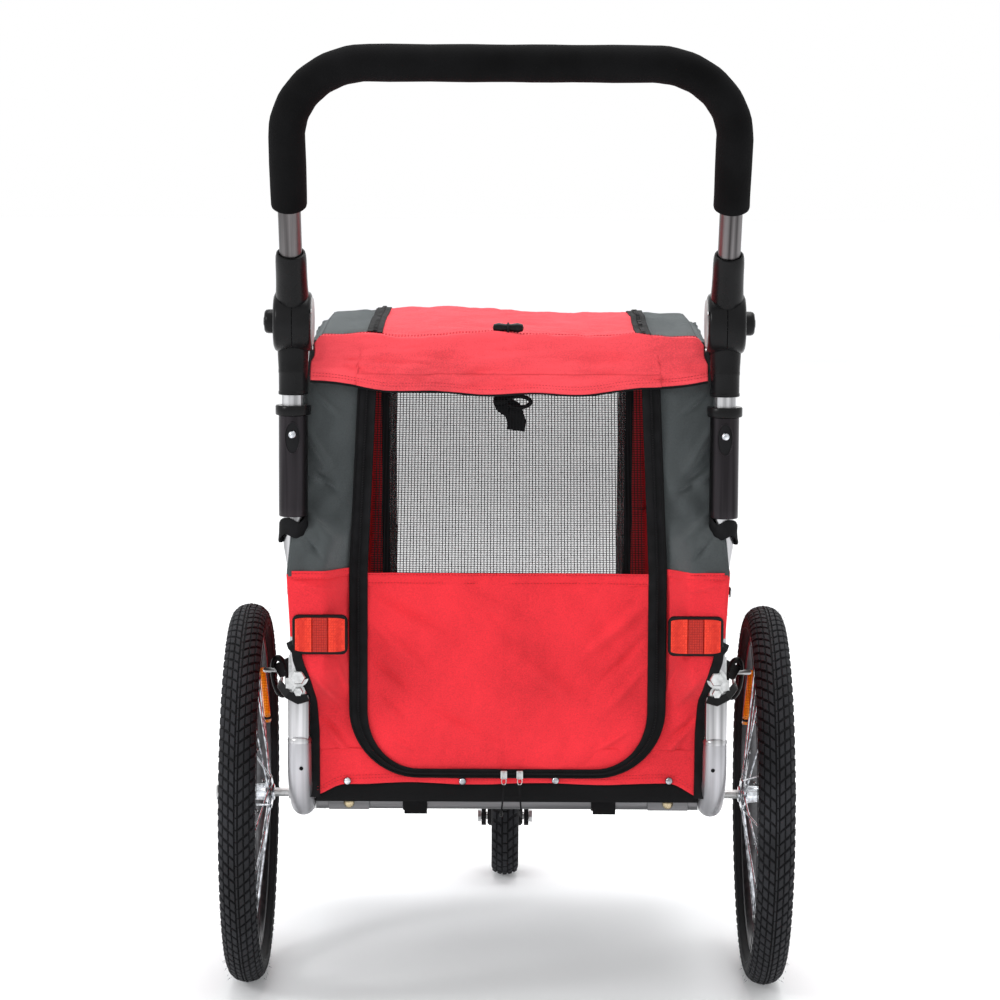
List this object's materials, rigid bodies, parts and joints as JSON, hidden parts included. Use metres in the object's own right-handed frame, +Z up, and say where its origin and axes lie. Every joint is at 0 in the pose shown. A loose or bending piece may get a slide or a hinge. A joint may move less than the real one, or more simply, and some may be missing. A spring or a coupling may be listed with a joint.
{
  "type": "pet stroller",
  "caption": "Folding pet stroller with two large spoked wheels, a swivelling front wheel, a fabric cabin with doors and a tilting foam handle.",
  "frame": {"origin": "on the ground, below the middle of the stroller's bounding box", "axes": "+Z up, +Y the way it travels, +X to the right as seen from behind"},
  "size_m": [0.774, 1.194, 1.2323],
  "materials": {
    "silver_tube": "satin",
    "dark_anodised": "satin",
    "black_plastic": "satin",
    "zinc": "satin",
    "foam": "matt",
    "tyre": "matt",
    "rim_grey": "satin",
    "chrome": "polished",
    "red_fabric": "matt",
    "slate_fabric": "matt",
    "black_fabric": "matt",
    "red_lens": "gloss",
    "orange_lens": "gloss"
  },
  "bodies": {
    "chassis": {"side_rail_left": "silver_tube", "side_rail_right": "silver_tube", "handle_post_left": "silver_tube", "handle_post_right": "silver_tube", "sleeve_left": "dark_anodised", "sleeve_right": "dark_anodised", "sleeve_collar_left": "black_plastic", "sleeve_collar_right": "black_plastic", "rear_hinge_left": "zinc", "rear_hinge_right": "zinc", "front_hinge_left": "zinc", "front_hinge_right": "zinc", "axle_left": "zinc", "axle_right": "zinc", "rear_reflector_left": "red_lens", "rear_reflector_right": "red_lens", "rear_cross_tube": "silver_tube", "front_cross_tube": "silver_tube", "axle_tube": "zinc", "front_beam": "silver_tube", "caster_housing": "black_plastic", "floor_board": "black_plastic", "tub_cover": "black_fabric", "rear_panel": "red_fabric", "front_panel": "red_fabric", "roof_panel": "slate_fabric"},
    "handle_lower": {"inner_tube_left": "silver_tube", "inner_tube_right": "silver_tube", "joint_lower_left": "black_plastic", "joint_lower_right": "black_plastic"},
    "handle_upper": {"joint_upper_left": "black_plastic", "joint_upper_right": "black_plastic", "handle_bar": "silver_tube", "foam_grip": "foam"},
    "caster": {"caster_fork": "black_plastic", "front_axle": "zinc"},
    "front_wheel": {"front_tyre": "tyre", "front_hub": "black_plastic"},
    "rear_door": {"rear_door": "red_fabric"},
    "front_door": {"front_door": "black_fabric"},
    "roof_hatch": {"roof_hatch": "red_fabric"},
    "left_wheel": {"rear_tyre_left": "tyre", "rear_rim_left": "rim_grey", "rear_hub_left": "chrome", "spoke_reflector_left": "orange_lens"},
    "left_side_frame": {"side_frame_left": "silver_tube", "side_panel_left": "slate_fabric"},
    "left_joint_button": {"joint_button_left": "black_plastic"},
    "left_snap_button": {"snap_button_left": "zinc"},
    "left_brake": {"brake_lever_left": "black_plastic"},
    "right_wheel": {"rear_tyre_right": "tyre", "rear_rim_right": "rim_grey", "rear_hub_right": "chrome", "spoke_reflector_right": "orange_lens"},
    "right_side_frame": {"side_frame_right": "silver_tube", "side_panel_right": "slate_fabric"},
    "right_joint_button": {"joint_button_right": "black_plastic"},
    "right_snap_button": {"snap_button_right": "zinc"},
    "right_brake": {"brake_lever_right": "black_plastic"}
  },
  "joints": [
    {"name": "left_wheel_spin", "type": "hinge", "parent": "chassis", "child": "left_wheel", "pos_m": [-0.339, -0.1378, 0.252], "axis": [1, 0, 0], "continuous": true},
    {"name": "right_wheel_spin", "type": "hinge", "parent": "chassis", "child": "right_wheel", "pos_m": [0.339, -0.1378, 0.252], "axis": [1, 0, 0], "continuous": true},
    {"name": "caster_swivel", "type": "hinge", "parent": "chassis", "child": "caster", "pos_m": [0, 0.5522, 0.24], "axis": [0, 0, 1], "continuous": true},
    {"name": "front_wheel_spin", "type": "hinge", "parent": "caster", "child": "front_wheel", "pos_m": [0, 0.5072, 0.09], "axis": [1, 0, 0], "continuous": true},
    {"name": "handle_height", "type": "slide", "parent": "chassis", "child": "handle_lower", "axis": [0, 0, 1], "range_m": [0, 0.1]},
    {"name": "handle_tilt", "type": "hinge", "parent": "handle_lower", "child": "handle_upper", "pos_m": [0, -0.4078, 0.896], "axis": [1, 0, 0], "range_deg": [-105, 45]},
    {"name": "left_joint_button_press", "type": "slide", "parent": "handle_lower", "child": "left_joint_button", "axis": [1, 0, 0], "range_m": [0, 0.004], "stiffness_N_per_m": 800},
    {"name": "left_snap_button_press", "type": "slide", "parent": "chassis", "child": "left_snap_button", "axis": [0, 1, 0], "range_m": [0, 0.003], "stiffness_N_per_m": 600},
    {"name": "left_brake_slide", "type": "slide", "parent": "chassis", "child": "left_brake", "axis": [-1, 0, 0], "range_m": [0, 0.021]},
    {"name": "right_joint_button_press", "type": "slide", "parent": "handle_lower", "child": "right_joint_button", "axis": [-1, 0, 0], "range_m": [0, 0.004], "stiffness_N_per_m": 800},
    {"name": "right_snap_button_press", "type": "slide", "parent": "chassis", "child": "right_snap_button", "axis": [0, 1, 0], "range_m": [0, 0.003], "stiffness_N_per_m": 600},
    {"name": "right_brake_slide", "type": "slide", "parent": "chassis", "child": "right_brake", "axis": [1, 0, 0], "range_m": [0, 0.021]},
    {"name": "left_side_fold", "type": "hinge", "parent": "chassis", "child": "left_side_frame", "pos_m": [-0.259, 0, 0.454], "axis": [0, -1, 0], "range_deg": [-90, 0], "deforming": ["side_panel_left", "roof_panel", "rear_panel", "front_panel", "rear_door", "front_door", "roof_hatch", "rear_reflector_left", "rear_reflector_right"]},
    {"name": "right_side_fold", "type": "hinge", "parent": "chassis", "child": "right_side_frame", "pos_m": [0.259, 0, 0.454], "axis": [0, 1, 0], "range_deg": [-72, 0], "deforming": ["side_panel_right"]},
    {"name": "rear_door_open", "type": "hinge", "parent": "chassis", "child": "rear_door", "pos_m": [0, -0.3883, 0.82], "axis": [-1, 0, 0], "range_deg": [0, 100]},
    {"name": "front_door_open", "type": "hinge", "parent": "chassis", "child": "front_door", "pos_m": [0, 0.31655, 0.7682], "axis": [1, 0, 0], "range_deg": [0, 100]},
    {"name": "roof_hatch_open", "type": "hinge", "parent": "chassis", "child": "roof_hatch", "pos_m": [0, -0.3658, 0.87195], "axis": [1, 0, 0], "range_deg": [0, 95]}
  ],
  "couplings": [
    {"joint": "right_side_fold", "follows": "left_side_fold", "ratio": 0.8}
  ]
}
